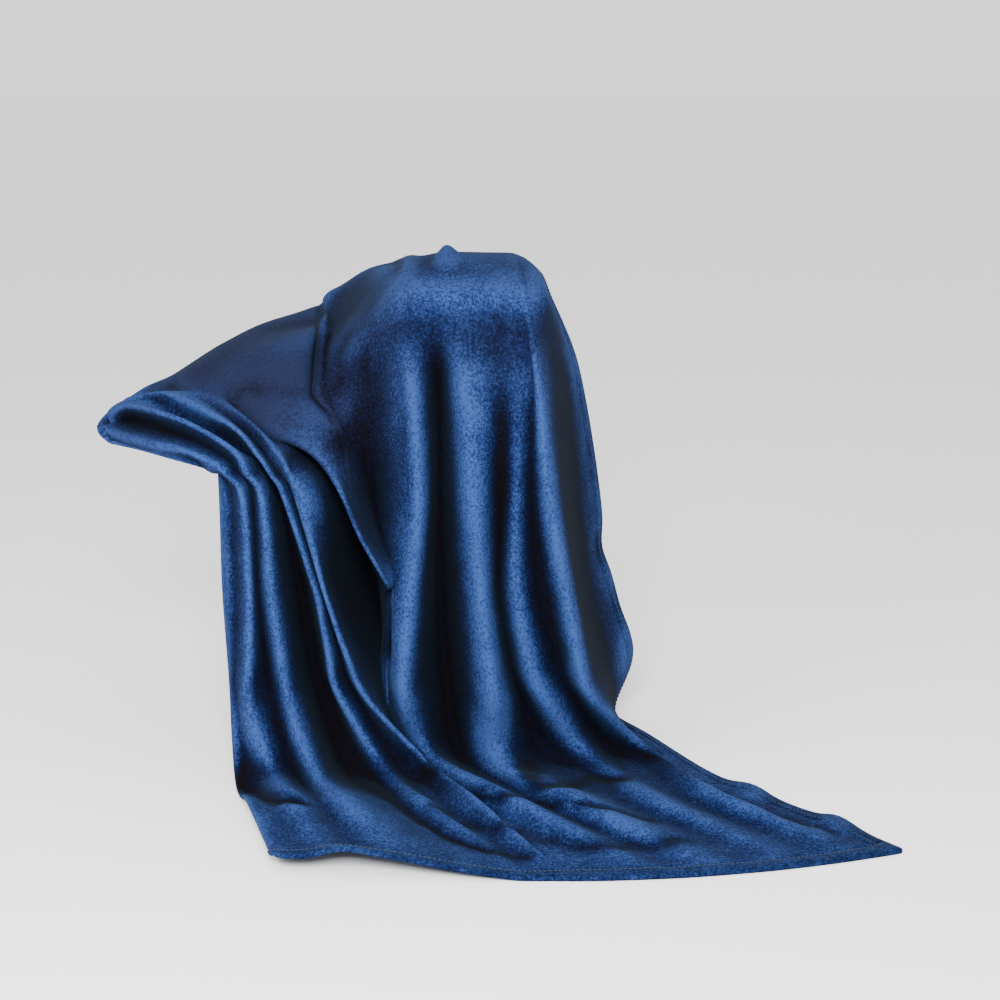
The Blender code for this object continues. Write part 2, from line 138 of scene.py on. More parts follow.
# %% Lay out the crests and valleys
# name, share along the foot hem, x and y where it leaves the floor, x at three heights,
# place along the four lines, how far it stands forward, how far its fall is set back
FOLDS = [
    ("side_hem", 0.00, 0.168, 0.150, 0.172, 0.147, 0.128, 0.00, 0.000, 0.215),
    ("side", 0.03, 0.165, 0.045, 0.138, 0.108, 0.092, 1.00, -0.012, 0.100),
    ("crest_b", 0.08, 0.190, -0.040, 0.118, 0.090, 0.067, 2.00, 0.034, 0.000),
    ("valley_b", 0.13, 0.150, -0.020, 0.090, 0.057, 0.042, 2.10, -0.018, 0.000),
    ("crest_d", 0.18, 0.118, -0.070, 0.052, 0.021, 0.020, 2.22, 0.024, 0.000),
    ("valley_d", 0.23, 0.065, -0.050, 0.021, -0.002, -0.001, 2.35, -0.030, 0.000),
    ("crest_e", 0.30, 0.000, -0.100, -0.008, -0.023, -0.037, 2.55, 0.046, 0.000),
    ("valley_f", 0.36, -0.045, -0.050, -0.069, -0.078, -0.078, 2.70, -0.050, 0.000),
    ("crest_g", 0.40, -0.085, -0.090, -0.113, -0.108, -0.096, 2.85, 0.046, 0.000),
    ("flat_g", 0.44, -0.110, -0.060, -0.131, -0.132, -0.122, 3.00, 0.022, 0.000),
    ("valley_h", 0.48, -0.128, -0.020, -0.145, -0.157, -0.165, 4.00, -0.045, 0.000),
    ("slope", 0.50, -0.134, -0.015, -0.150, -0.168, -0.180, 5.00, -0.035, 0.000),
    ("tuck_right", 0.502, -0.135, -0.016, -0.151, -0.169, -0.185, 5.06, -0.020, 0.000),
    ("tuck", 0.505, -0.136, -0.017, -0.152, -0.170, -0.188, 5.20, -0.016, 0.000),
    ("tuck_left", 0.508, -0.137, -0.018, -0.153, -0.171, -0.191, 5.36, -0.006, 0.000),
    ("crest_i", 0.51, -0.138, -0.020, -0.155, -0.172, -0.196, 6.00, 0.010, 0.000),
    ("valley_j", 0.53, -0.120, -0.060, -0.158, -0.190, -0.230, 6.30, -0.045, 0.000),
    ("crest_j", 0.54, -0.102, -0.095, -0.161, -0.206, -0.242, 6.45, -0.004, 0.000),
    ("crest_k", 0.55, -0.083, -0.130, -0.164, -0.214, -0.254, 6.60, 0.042, 0.000),
    ("valley_k", 0.59, -0.110, -0.115, -0.185, -0.221, -0.264, 6.75, -0.006, 0.000),
    ("crest_n", 0.62, -0.140, -0.125, -0.203, -0.229, -0.274, 6.95, 0.026, 0.000),
    ("valley_n", 0.66, -0.165, -0.110, -0.219, -0.243, -0.283, 7.10, -0.036, 0.000),
    ("valley_m", 0.71, -0.200, -0.105, -0.245, -0.266, -0.291, 7.25, -0.046, 0.000),
    ("crest_r", 0.80, -0.222, -0.185, -0.262, -0.284, -0.299, 7.40, 0.030, 0.000),
    ("valley_r", 0.87, -0.250, -0.150, -0.290, -0.307, -0.316, 7.55, -0.006, 0.000),
    ("crest_s", 0.92, -0.280, -0.170, -0.312, -0.314, -0.324, 7.75, 0.030, 0.000),
    ("valley_s", 0.96, -0.305, -0.150, -0.330, -0.332, -0.338, 7.90, 0.004, 0.000),
    ("edge", 1.00, -0.324, -0.150, -0.340, -0.347, -0.350, 8.00, -0.010, 0.000),
    ("turn", 1.010, -0.316, -0.100, -0.330, -0.336, -0.342, 8.20, -0.012, 0.030),
    ("back_hem", 0.930, -0.215, -0.020, -0.185, -0.150, -0.182, 9.00, -0.010, 0.090),
]
PLACE = 7  # where a fold's place along the four lines stands in its row
HEIGHTS = np.array((0.16, 0.34, 0.56)) * ARM_TOP
LEANS = (0.055, 0.030, 0.018)  # how far the cloth leans forward at each height
SHARES = (1.10, 1.00, 0.90)  # how much of a fold's depth it has there
print(len(FOLDS), "lines run down the cloth")

# %% [markdown]
# ## A curve through points
# The same small helper draws every smooth line here. It passes through each point it is given and
# needs no handles, which suits folds that are given as points. A place counts along the points, so
# place 2.5 lies between the third point and the fourth.

# %% Draw a smooth curve
def smooth(points, places):
    points = np.asarray(points, float)
    last = len(points) - 1
    ends = 2 * points[[0, last]] - points[[1, last - 1]]
    padded = np.concatenate((ends[:1], points, ends[1:]))
    start = np.clip(np.floor(places).astype(int), 0, last - 1)
    share = (places - start).reshape((-1,) + (1,) * (points.ndim - 1))
    a, b, c, d = (padded[start + step] for step in range(4))
    bend = 2 * a - 5 * b + 4 * c - d
    twist = 3 * (b - c) + d - a
    return b + 0.5 * share * (c - a + share * (bend + share * twist))


def knot(line, place):
    return smooth(line, np.array([place]))[0]

# %% [markdown]
# ## From hem to hem along one fold
# Each line starts at the foot hem on the floor, runs back to where the cloth leaves the floor, up
# the fall, over the brink and the top, and ends in the tail behind the arm.

# %% Run one fold from hem to hem
POOL_REACH = 0.440
TIP_X = 0.462
CORNER_X = -0.245
TAIL_LENGTH = 0.150
PLUSH = 0.0050
HEM_DEPTH = 0.0080
FLAP_REST = 0.0082
FLAP_RISE = 0.0167
POOL_RISES = ((0.0, 0.0), (0.30, 0.25), (0.65, 0.55), (1.0, 0.60))
POOL_SWAY = 0.110  # how far the right-hand folds swing forward on the floor
BOW_AT = 0.55  # the share of the foot hem that reaches furthest forward
BOW_DEPTH = 0.195  # how much of that reach its right end loses
LEFT_BOW = 0.45  # the bend on its left, as a share of the bend on its right
RISE_FROM = 0.62  # the share of the foot hem where it starts to lie on the turned edge
RISE_OVER = 0.18
CROWN_AT = 0.42  # how far the crown lies from the brink towards the top
CROWN_RISE = 0.012
ARM_PLACES = 4  # folds with a lower place hang from the arm
SEAT_PLACES = 4.5  # folds with a higher place lie over the seat
BACK_PLACES = 8.5  # and the one beyond this is the hem at the back


def foot_point(share):
    x = TIP_X + share * (CORNER_X - TIP_X)
    bow = 1 - ((share - BOW_AT) / BOW_AT) ** 2 * (1.0 if share < BOW_AT else LEFT_BOW)
    return np.array((x, -POOL_REACH * (1 - BOW_DEPTH * (1 - bow)), 0.0))


def fold_line(foot, toe_x, toe_y, low_x, mid_x, high_x, place, depth, back):
    lift = max(depth, 0.0)
    hem = foot_point(foot)
    rest = PLUSH / 2 + FLAP_RISE * min(max((foot - RISE_FROM) / RISE_OVER, 0.0), 1.0)
    turned = back > 0 and place > ARM_PLACES
    if turned:
        hem[1] += back
        rest = FLAP_REST if place > BACK_PLACES else FLAP_REST + 0.3 * (rest - FLAP_REST)
    toe = np.array((toe_x, toe_y, 0.0))
    points = []
    for share, rise in POOL_RISES:
        spot = hem + share * (toe - hem)
        spot[1] -= POOL_SWAY * (1 - foot) ** 3 * share * np.sin(np.pi * share)
        points.append((spot[0], spot[1], rest + rise * lift))
    for height, lean, part, x in zip(HEIGHTS, LEANS, SHARES, (low_x, mid_x, high_x)):
        points.append((x, back - lean - part * depth, height))
    outward, upward = (1.0, 0.0) if place < ARM_PLACES else (0.5, 0.4)
    chest = knot(CHEST, place) - (0, 0.7 * outward * depth, 0)
    forward = 0.05 if place < ARM_PLACES else 0.15
    brink = knot(BRINK, place) - (0, forward * depth, -upward * depth)
    top = knot(TOP, place) + (0, 0, upward * depth)
    ridge = knot(RIDGE, place)
    crown = brink + CROWN_AT * (top - brink) + (0, 0, CROWN_RISE * outward)
    points += [chest, brink, crown, top, ridge]
    lowest = 0.0
    if place > SEAT_PLACES:
        lowest = SEAT_TOP - 0.018 if turned else SEAT_TOP + 0.004
    for share, drop in ((0.5, 0.10), (1.0, 0.45)):
        spot = ridge + (0.0, 0.8 * share * TAIL_LENGTH, -drop * TAIL_LENGTH)
        spot[2] = max(spot[2], min(ridge[2] - 0.004 * share, lowest))
        points.append(spot)
    return np.array(points, float)


lines = np.array([fold_line(*fold[1:]) for fold in FOLDS]).swapaxes(0, 1)
print("each line has", len(lines), "points")

# %% [markdown]
# ## Correct single points
# Some folds don't keep one depth all the way. More points are put on every line, and then single
# ones are moved. A point is named by its fold and by its station: 3 is where the cloth leaves the
# floor, 4 is about 0.10 m above it, 6 is under the seat's edge, 7 is the chest, 8 the brink and 10
# the top. The first is the pleat on the arm's inner side, which hangs over a dark hollow and ends
# in a point.

# %% Point the pleat and open the hollow beside it
STATIONS = (0, 1, 2, 3, 4, 4.5, 5, 5.25, 5.6, 6, 6.5, 7, 7.5, 8, 9, 10, 10.5, 11, 12, 13)
NAMES = [fold[0] for fold in FOLDS]
lines = smooth(lines, np.array(STATIONS, float))


def point_at(fold, station):
    return lines[STATIONS.index(station), NAMES.index(fold)]


def spot(fold, station, x, y, z=None):
    point = point_at(fold, station)
    point[:2] = x, y
    if z is not None:
        point[2] = z


# the pleat that ends in a point, from the seat's edge down
spot("crest_i", 6.5, -0.226, -0.034)
spot("crest_i", 6, -0.198, -0.058)
spot("crest_i", 5.6, -0.175, -0.068)
spot("crest_i", 5.25, -0.142, -0.072, 0.247)
spot("crest_i", 5, -0.146, -0.006, 0.222)
spot("crest_i", 4.5, -0.148, 0.012)
spot("crest_i", 4, -0.150, -0.006)
spot("crest_i", 3, -0.138, -0.012)
spot("slope", 6, -0.184, -0.012)
spot("slope", 5.6, -0.167, -0.020)
spot("slope", 5.25, -0.137, -0.060, 0.245)
spot("slope", 5, -0.141, -0.018, 0.224)
spot("slope", 4.5, -0.141, -0.006)
spot("slope", 4, -0.144, -0.022)
for name, share in (("tuck_right", 0.3), ("tuck", 0.5), ("tuck_left", 0.75)):
    for station in (6, 5.6, 5.25, 5, 4.5, 4):
        right, left = point_at("slope", station), point_at("crest_i", station)
        point_at(name, station)[:] = right + share * (left - right)
spot("valley_h", 6, -0.164, 0.030)
spot("valley_h", 5.6, -0.157, 0.022)
spot("valley_h", 5.25, -0.134, -0.036)
spot("valley_h", 5, -0.136, -0.030)
spot("valley_h", 4.5, -0.134, -0.020)
# the black hollow beside it
spot("valley_j", 6.5, -0.240, 0.034)
spot("valley_j", 6, -0.214, 0.056)
spot("valley_j", 5.6, -0.194, 0.064)
spot("valley_j", 5.25, -0.174, 0.068)
spot("valley_j", 5, -0.164, 0.066)
spot("valley_j", 4.5, -0.156, 0.050)
spot("valley_j", 4, -0.156, 0.018)
# the short crest over the hollow
spot("crest_j", 6.5, -0.262, -0.030)
spot("crest_j", 6, -0.233, -0.040)
spot("crest_j", 5.6, -0.222, -0.024)
print("each line now has", len(lines), "points")

# %% [markdown]
# The padded front of the arm stands out at the brink and draws in below it. Most folds start low
# on it, so at the chest the cloth is nearly flat. Over the seat it lies smooth as far as the rolled
# edge.

# %% Flatten the folds near the arm's front and over the seat
for number, fold in enumerate(FOLDS):
    if fold[PLACE] < ARM_PLACES:
        lines[STATIONS.index(8), number] += (0, -0.008, 0.003)
        lines[STATIONS.index(7.5), number] += (0, 0.003, 0)


def flatten(station, keep, first, last, names, out):
    line = lines[STATIONS.index(station)]
    a, b = NAMES.index(first), NAMES.index(last)
    for number in map(NAMES.index, names):
        share = (line[number, 0] - line[a, 0]) / (line[b, 0] - line[a, 0])
        level = line[a, 1] + share * (line[b, 1] - line[a, 1]) + out
        line[number, 1] = level + keep * (line[number, 1] - level)


# the share of its depth that each fold keeps, station by station
RIGHT_KEEPS = {5: 0.85, 5.25: 0.75, 5.6: 0.6, 6: 0.42, 6.5: 0.26, 7: 0.15, 7.5: 0.10, 8: 0.10}
MIDDLE_KEEPS = {7: 0.75, 7.5: 0.25, 8: 0.15}
SEAT_KEEPS = {8: 0.6, 9: 0.15, 10: 0.1, 10.5: 0.1, 11: 0.1}
for station, keep in RIGHT_KEEPS.items():
    flatten(station, keep, "crest_b", "crest_e", ("valley_b", "crest_d", "valley_d"), 0.006)
for station, keep in MIDDLE_KEEPS.items():
    flatten(station, keep, "valley_d", "flat_g", ("crest_e", "valley_f", "crest_g"), -0.002)
slit_fold, edge_fold = NAMES.index("tuck_left"), NAMES.index("crest_n")
for station, keep in SEAT_KEEPS.items():
    line = lines[STATIONS.index(station)]
    for number in range(slit_fold + 1, edge_fold):
        share = (number - slit_fold) / (edge_fold - slit_fold)
        level = line[slit_fold] + share * (line[edge_fold] - line[slit_fold])
        line[number, 1:] = level[1:] + keep * (line[number, 1:] - level[1:])
print("folds are flattened at", len(RIGHT_KEEPS) + len(MIDDLE_KEEPS) + len(SEAT_KEEPS), "places")

# %% [markdown]
# Beside the arm the cloth is tucked into a slit, which three lines draw: its two lips and its floor.

# %% Tuck the slit in
spot("tuck_right", 10, -0.234, 0.136, 0.549)
spot("tuck", 10, -0.248, 0.175, 0.533)
spot("tuck_left", 10, -0.253, 0.124, 0.536)
spot("tuck_right", 9, -0.233, 0.088, 0.522)
spot("tuck", 9, -0.248, 0.140, 0.508)
spot("tuck_left", 9, -0.252, 0.074, 0.512)
spot("tuck_right", 8, -0.233, 0.042, 0.494)
spot("tuck", 8, -0.246, 0.098, 0.482)
spot("tuck_left", 8, -0.250, 0.030, 0.484)
spot("tuck_right", 7.5, -0.231, 0.014, 0.473)
spot("tuck", 7.5, -0.240, 0.036, 0.464)
spot("tuck_left", 7.5, -0.245, 0.006, 0.464)
slit = point_at("tuck", 9)[1] - point_at("tuck_left", 9)[1]
print("the floor of the slit lies", round(slit, 3), "m behind its left lip")

# %% [markdown]
# The left end of the seat has a rolled edge, with an opening under it. Its folds crowd together
# there, so each has its own place at every station.

# %% Roll the left end of the seat
ROLLED_EDGE = {
    10: (
        ("crest_n", -0.472, 0.045, 0.463),
        ("valley_n", -0.483, 0.036, 0.459),
        ("valley_m", -0.494, 0.028, 0.453),
        ("crest_r", -0.497, 0.012, 0.447),
        ("valley_r", -0.490, 0.012, 0.436),
        ("crest_s", -0.496, 0.002, 0.429),
        ("valley_s", -0.491, 0.002, 0.420),
        ("edge", -0.484, 0.004, 0.414),
        ("turn", -0.471, 0.012, 0.410),
    ),
    9: (
        ("valley_k", -0.393, 0.030, 0.470),
        ("crest_n", -0.425, 0.028, 0.472),
        ("valley_n", -0.440, 0.030, 0.460),
        ("valley_m", -0.455, 0.020, 0.458),
        ("crest_r", -0.468, -0.006, 0.461),
        ("valley_r", -0.466, 0.026, 0.437),
        ("crest_s", -0.472, -0.016, 0.424),
        ("valley_s", -0.464, -0.010, 0.414),
        ("edge", -0.455, -0.006, 0.409),
        ("turn", -0.438, 0.004, 0.405),
    ),
    8: (
        ("crest_k", -0.333, -0.004, 0.454),
        ("valley_k", -0.352, 0.006, 0.448),
        ("crest_n", -0.370, -0.010, 0.455),
        ("valley_n", -0.381, 0.012, 0.438),
        ("valley_m", -0.398, 0.010, 0.435),
        ("crest_r", -0.418, -0.022, 0.453),
        ("valley_r", -0.417, 0.010, 0.425),
        ("crest_s", -0.426, -0.030, 0.416),
        ("valley_s", -0.421, -0.022, 0.405),
        ("edge", -0.410, -0.016, 0.398),
        ("turn", -0.393, -0.002, 0.393),
    ),
    7.5: (
        ("crest_k", -0.300, -0.028, 0.432),
        ("valley_k", -0.318, -0.010, 0.422),
        ("crest_n", -0.329, -0.030, 0.434),
        ("valley_n", -0.339, 0.002, 0.420),
        ("valley_m", -0.360, 0.000, 0.415),
        ("crest_r", -0.373, -0.034, 0.436),
        ("valley_r", -0.374, -0.006, 0.411),
        ("crest_s", -0.388, -0.036, 0.407),
        ("valley_s", -0.382, -0.022, 0.396),
    ),
    7: (
        ("crest_k", -0.277, -0.044, 0.407),
        ("valley_k", -0.293, -0.022, 0.396),
        ("crest_n", -0.302, -0.042, 0.404),
        ("valley_n", -0.310, -0.004, 0.397),
        ("valley_m", -0.322, -0.002, 0.395),
        ("crest_r", -0.330, -0.044, 0.409),
        ("valley_r", -0.341, -0.014, 0.392),
        ("crest_s", -0.354, -0.038, 0.391),
    ),
    6.5: (
        ("crest_k", -0.262, -0.052, 0.380),
        ("valley_k", -0.276, -0.022, 0.375),
        ("crest_n", -0.286, -0.044, 0.379),
    ),
}
for station, moves in ROLLED_EDGE.items():
    for fold, x, y, z in moves:
        spot(fold, station, x, y, z)
# the ridge behind the seat
DROPS = {"crest_i": 0.004, "valley_j": 0.010, "crest_j": 0.008, "crest_k": 0.009, "valley_k": 0.006}
for name, drop in DROPS.items():
    point_at(name, 11)[2] -= drop
print(sum(map(len, ROLLED_EDGE.values())), "points are moved at the rolled edge")

# %% [markdown]
# A finer version of the lines gives the length of the cloth.

# %% Measure the cloth from hem to hem
FINENESS = 12  # steps between two points
stations = len(lines) - 1
fine = smooth(lines, np.linspace(0, stations, stations * FINENESS + 1))
steps = np.linalg.norm(np.diff(fine, axis=0), axis=2).mean(axis=1)
lengths = np.concatenate(([0.0], np.cumsum(steps)))
print("the cloth is about", round(lengths[-1], 2), "m long from foot hem to head hem")

# %% [markdown]
# ## One sheet of small squares
# A plane is cut into small squares, and every corner is moved to its place on the folds. At each
# edge, two rows of squares share the width of the hem. Because it starts as a plane, each square
# keeps its place on the flat cloth as a UV map.

# %% Spread the rows and columns over the cloth
HEM = 0.024
ACROSS = 144
ALONG = 86
last_fold = len(FOLDS) - 1


def spread(first, last, hem, count):
    inner = np.linspace(first + hem, last - hem, count - 4)
    return np.concatenate(([first, first + hem / 2], inner, [last - hem / 2, last]))


rows = spread(0.0, lengths[-1], HEM, ALONG)
crossed = smooth(fine, np.interp(rows, lengths, np.arange(len(lengths))))
tried = np.linspace(0, last_fold, last_fold * FINENESS + 1)
spots = np.empty((ALONG, ACROSS, 3))
fold_at = np.empty((ALONG, ACROSS))
for number, rung in enumerate(crossed):
    dense = smooth(rung, tried)
    gone = np.linalg.norm(np.diff(dense, axis=0), axis=1)
    measured = np.concatenate(([0.0], np.cumsum(gone)))
    wanted = spread(0.0, measured[-1], HEM, ACROSS)
    places = np.interp(wanted, measured, tried)
    places[2:-2] = np.linspace(places[2], places[-3], ACROSS - 4)
    spots[number] = smooth(rung, places)
    fold_at[number] = places
line_steps = np.linspace(0, stations, len(lengths))
station_at = np.interp(np.interp(rows, lengths, line_steps), np.arange(len(STATIONS)), STATIONS)
station_at = np.repeat(station_at[:, None], ACROSS, axis=1)
spots += np.array(CENTRE)
print("the sheet has", ACROSS, "by", ALONG, "corners")

# %% [markdown]
# ## Small dents and lumps
# The last corrections are dabs, as with a soft brush: the cloth round one place is moved, and the
# move fades out with the distance. The little peak on top, where the cloth was picked up, is one.

# %% Dab the small forms
def dab(fold, station, across, along, push):
    number = NAMES.index(fold) if isinstance(fold, str) else fold
    far = ((fold_at - number) / across) ** 2 + ((station_at - station) / along) ** 2
    spots[...] += np.exp(-0.5 * far)[..., None] * np.array(push)


dab(6.2, 9.35, 0.26, 0.26, (0.0, -0.004, 0.020))
dab(6.2, 9.35, 0.9, 0.5, (0.0, 0.0, 0.005))
dab(7.2, 9.6, 0.4, 0.5, (0.0, 0.0, -0.006))
dab(8.2, 9.4, 0.35, 0.5, (0.0, 0.0, 0.003))
dab(8.9, 9.8, 0.45, 0.8, (0.0, 0.0, -0.014))
dab(9.6, 10.0, 0.30, 0.5, (0.0, 0.0, 0.006))
dab(10.4, 10.4, 0.6, 0.8, (0.0, 0.0, -0.010))
dab(10.9, 10.9, 0.3, 0.3, (0.004, 0.0, 0.010))
# the arm's outer edge is rounded
dab(2.0, 8.6, 0.45, 1.5, (-0.002, 0.012, -0.003))
dab(1.1, 8.3, 0.5, 1.4, (0.002, -0.014, 0.002))
# a corner of the foot hem stands off the floor
dab(24.4, 0.0, 0.8, 0.22, (0.0, 0.0, 0.012))
dab("tuck", 10.9, 0.9, 0.5, (0.0, 0.0, -0.020))
# the right hem swings out above the floor
dab("side_hem", 3.8, 0.7, 0.35, (0.010, 0.0, 0.0))
dab("side_hem", 3.1, 0.7, 0.25, (-0.010, 0.0, 0.0))
dab("side_hem", 5.15, 0.4, 0.14, (-0.006, 0.0, 0.0))
# and it crinkles along the floor
for station, push in ((2.6, 0.006), (2.1, -0.004), (1.6, 0.007), (1.15, -0.005), (0.7, 0.008)):
    dab(0.2, station, 0.8, 0.14, (0.0, 0.6 * push, push))
# the folds at the left end in a step over the cloth on the floor
dab("crest_s", 3.7, 1.3, 0.35, (0.0, -0.020, 0.0))
dab("crest_s", 2.9, 1.4, 0.35, (0.0, 0.022, -0.006))
print("the peak is", round(float(spots[..., 2].max()), 3), "m above the floor")

# %% [markdown]
# A crease is narrow and follows a path. Each path is a few places, given by fold and station, with
# the crease's width and depth in metres.

# %% Press the creases
def crease(path, width, deep):
    path = smooth(path, np.linspace(0, len(path) - 1, FINENESS * len(path)))
    near = np.full(fold_at.shape, np.inf)
    line = []
    for fold, station in path:
        gap = 3 * (fold_at - fold) ** 2 + (20 * (station_at - station)) ** 2
        line.append(spots.reshape(-1, 3)[gap.argmin()])
    for point in line:
        near = np.minimum(near, np.linalg.norm(spots - point, axis=2))
    return deep * np.exp(-((near / width) ** 2))


CREASES = (
    (((21.3, 3.5), (21.3, 2.67), (21.2, 1.7), (20.7, 1.0), (18.7, 0.6)), 0.009, 0.007),
    (((18.2, 3.0), (12.0, 2.4), (8.3, 2.0), (6.3, 1.95), (5.3, 1.5)), 0.011, 0.008),
    (((5.5, 2.9), (6.0, 2.5), (6.2, 2.25), (5.0, 2.5), (4.0, 2.55)), 0.011, 0.008),
    (((27.4, 3.2), (26.5, 2.7), (25.7, 2.1), (24.8, 1.9)), 0.010, 0.010),
    (((2.3, 3.0), (1.6, 2.2), (1.3, 1.5), (1.2, 0.6)), 0.008, 0.004),
    (((19.8, 2.0), (18.2, 1.4), (8.5, 0.8), (5.6, 0.85)), 0.012, 0.004),
    (((13.2, 7.6), (14.2, 7.9), (15.2, 8.7)), 0.010, 0.003),
    (((11.4, 9.4), (11.6, 8.2), (12.0, 7.2), (12.7, 6.5)), 0.009, 0.003),
    (((10.6, 8.6), (10.8, 7.6), (11.2, 6.8)), 0.009, 0.002),
)
pressed = np.zeros(fold_at.shape)
for path, width, deep in CREASES:
    pressed = np.maximum(pressed, crease(np.array(path), width, deep))
spots[..., 2] -= pressed
print(len(CREASES), "creases are pressed in, up to", round(float(pressed.max()) * 1000, 1), "mm deep")

# %% [markdown]
# ## Lay the sheet
# The plane's corners are counted from its own left and front. The throw's right side hem comes
# first in the folds, so the count across is turned round, and the faces then point outwards.

# %% Make the sheet
def only(piece):
    bpy.ops.object.select_all(action="DESELECT")
    piece.select_set(True)
    bpy.context.view_layer.objects.active = piece


bpy.ops.object.select_all(action="DESELECT")
bpy.ops.mesh.primitive_grid_add(x_subdivisions=ACROSS - 1, y_subdivisions=ALONG - 1, size=1.0)
sheet = bpy.context.object
sheet.name = "fleece_panel_plush"
flat = np.empty(len(sheet.data.vertices) * 3, np.float32)
sheet.data.vertices.foreach_get("co", flat)
flat = flat.reshape(-1, 3)
column = np.rint((0.5 - flat[:, 0]) * (ACROSS - 1)).astype(int)
row = np.rint((flat[:, 1] + 0.5) * (ALONG - 1)).astype(int)
laid = spots[row, column]
laid[:, 2] = np.maximum(laid[:, 2], PLUSH / 2)
sheet.data.vertices.foreach_set("co", laid.ravel())
sheet.data.update()
print("the plane has", len(sheet.data.vertices), "corners")

# %% [markdown]
# ## Let the cloth settle
# The folds are where they were laid out. Real fleece also sags a little between its crests. A short
# cloth simulation adds that: each corner is held softly at its place, and the cloth is let out by
# about one per cent.

# %% Settle the sheet
HOLD = 0.6
LET_OUT = 0.012
FRAMES = 20


def settle(piece, frames):
    group = piece.vertex_groups.new(name="held")
    for vertex in piece.data.vertices:
        group.add([vertex.index], HOLD, "REPLACE")
    only(piece)
    bpy.ops.object.modifier_add(type="CLOTH")
    cloth = piece.modifiers[-1]
    cloth.settings.quality = 6
    cloth.settings.mass = 0.25
    cloth.settings.tension_stiffness = 10
    cloth.settings.compression_stiffness = 10
    cloth.settings.shear_stiffness = 3
    cloth.settings.bending_stiffness = 2.0
    cloth.settings.air_damping = 2
    cloth.settings.vertex_group_mass = "held"
    cloth.settings.pin_stiffness = 6
    cloth.settings.shrink_min = -LET_OUT
    cloth.settings.shrink_max = -LET_OUT
    cloth.collision_settings.use_collision = False
    cloth.collision_settings.use_self_collision = False
    for number in range(1, frames + 1):
        scene.frame_set(number)
    bpy.ops.object.modifier_apply(modifier=cloth.name)
    scene.frame_set(1)


settle(sheet, FRAMES)
moved = np.empty(len(sheet.data.vertices) * 3, np.float32)
sheet.data.vertices.foreach_get("co", moved)
moved = moved.reshape(-1, 3)
furthest = float(np.linalg.norm(moved - laid, axis=1).max())
print("the cloth moved", round(furthest * 1000, 1), "mm at most")
moved[:, 2] = np.maximum(moved[:, 2], PLUSH / 2)
sheet.data.vertices.foreach_set("co", moved.ravel())
sheet.data.update()

# %% [markdown]
# ## Round the folds off
# Every square is then divided once, which rounds the folds off.

# %% Round the sheet off
only(sheet)
bpy.ops.object.modifier_add(type="SUBSURF")
sheet.modifiers[-1].levels = 1
sheet.modifiers[-1].render_levels = 1
bpy.ops.object.modifier_apply(modifier=sheet.modifiers[-1].name)
print("the sheet now has", len(sheet.data.polygons), "squares")

# %% [markdown]
# ## Know the crests from the valleys
# Valleys are painted darker and crests lighter: painted shade and painted highlight on the folds. How far
# each corner stands out from the cloth around it is measured at four scales, on the mesh in rows and
# columns.

# %% Measure how far each corner stands out
def blur(grid, reach, axis):
    total = np.zeros_like(grid)
    weight = 0.0
    for step in range(-2 * reach, 2 * reach + 1):
        share = np.exp(-0.5 * (step / reach) ** 2)
        taken = np.clip(np.arange(grid.shape[axis]) + step, 0, grid.shape[axis] - 1)
        total += share * np.take(grid, taken, axis=axis)
        weight += share
    return total / weight


def finer(grid):
    wide = np.array([np.interp(np.arange(across_now + 1) / 2, np.arange(ACROSS), line) for line in grid])
    return np.array([np.interp(np.arange(rows_now + 1) / 2, np.arange(ALONG), line) for line in wide.T]).T


rows_now = 2 * (ALONG - 1)
across_now = 2 * (ACROSS - 1)
uv_marks = np.empty(len(sheet.data.loops) * 2, np.float32)
sheet.data.uv_layers.active.data.foreach_get("uv", uv_marks)
corner = np.empty(len(sheet.data.loops), np.int32)
sheet.data.loops.foreach_get("vertex_index", corner)
column = np.zeros(len(sheet.data.vertices), int)
row = np.zeros(len(sheet.data.vertices), int)
column[corner] = np.rint((1 - uv_marks[0::2]) * across_now)
row[corner] = np.rint(uv_marks[1::2] * rows_now)
place = np.empty(len(sheet.data.vertices) * 3, np.float32)
sheet.data.vertices.foreach_get("co", place)
ordered = np.empty((rows_now + 1, across_now + 1, 3))
ordered[row, column] = place.reshape(-1, 3)
fold_at = finer(fold_at)
station_at = finer(station_at)
facing = np.cross(np.gradient(ordered, axis=0), np.gradient(ordered, axis=1))
facing /= np.linalg.norm(facing, axis=2, keepdims=True) + 1e-12
crest = np.zeros(facing.shape[:2])
for reach, depth, share in ((2, 0.0025, 0.22), (4, 0.005, 0.34), (8, 0.012, 0.28), (16, 0.030, 0.16)):
    out_by = ((ordered - blur(blur(ordered, reach, 1), 3, 0)) * facing).sum(axis=2)
    crest += share * np.tanh(out_by / depth)
print("corners stand out by", round(float(crest.min()), 2), "to", round(float(crest.max()), 2))

# %% [markdown]
# Some places are painted lighter and others painted darker in shadow, each by a soft patch. The
# result is kept on the mesh as a point attribute, for the finish to read. A second one marks painted
# shade, dull and slaty, with a dull painted sheen in it.

# %% Paint shade and highlight on the folds, and find the dull painted shade
def patch(fold, station, across, along):
    far = ((fold_at - fold) / across) ** 2 + ((station_at - station) / along) ** 2
    return np.exp(-0.5 * far**1.5)
